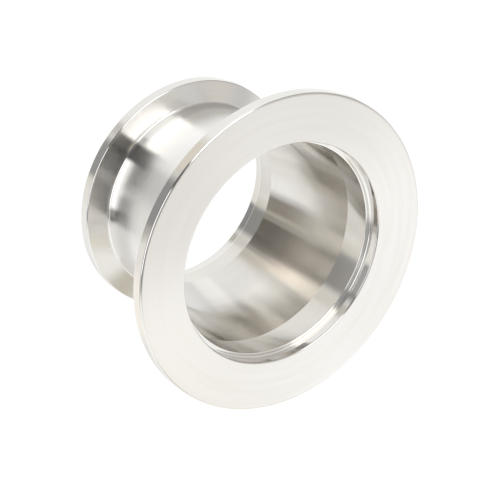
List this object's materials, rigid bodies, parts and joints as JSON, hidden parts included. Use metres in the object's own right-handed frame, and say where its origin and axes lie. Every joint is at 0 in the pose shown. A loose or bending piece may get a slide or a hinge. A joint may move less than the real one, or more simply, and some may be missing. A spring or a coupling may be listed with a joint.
{
  "type": "vacuum conical reducer",
  "caption": "Straight conical reducer joining a large and a small vacuum clamp flange, turned in one piece from stainless steel.",
  "frame": {"origin": "centre of the small sealing face, where the part stands", "axes": "+Z along the bore axis from the small flange to the large flange; X and Y are any two directions across it"},
  "size_m": [0.075, 0.075, 0.04],
  "materials": {
    "turned_steel": "fine turned stainless steel, satin on the faces and brighter on the neck and bore"
  },
  "bodies": {
    "root": {"reducer_body": "turned_steel"}
  },
  "joints": []
}
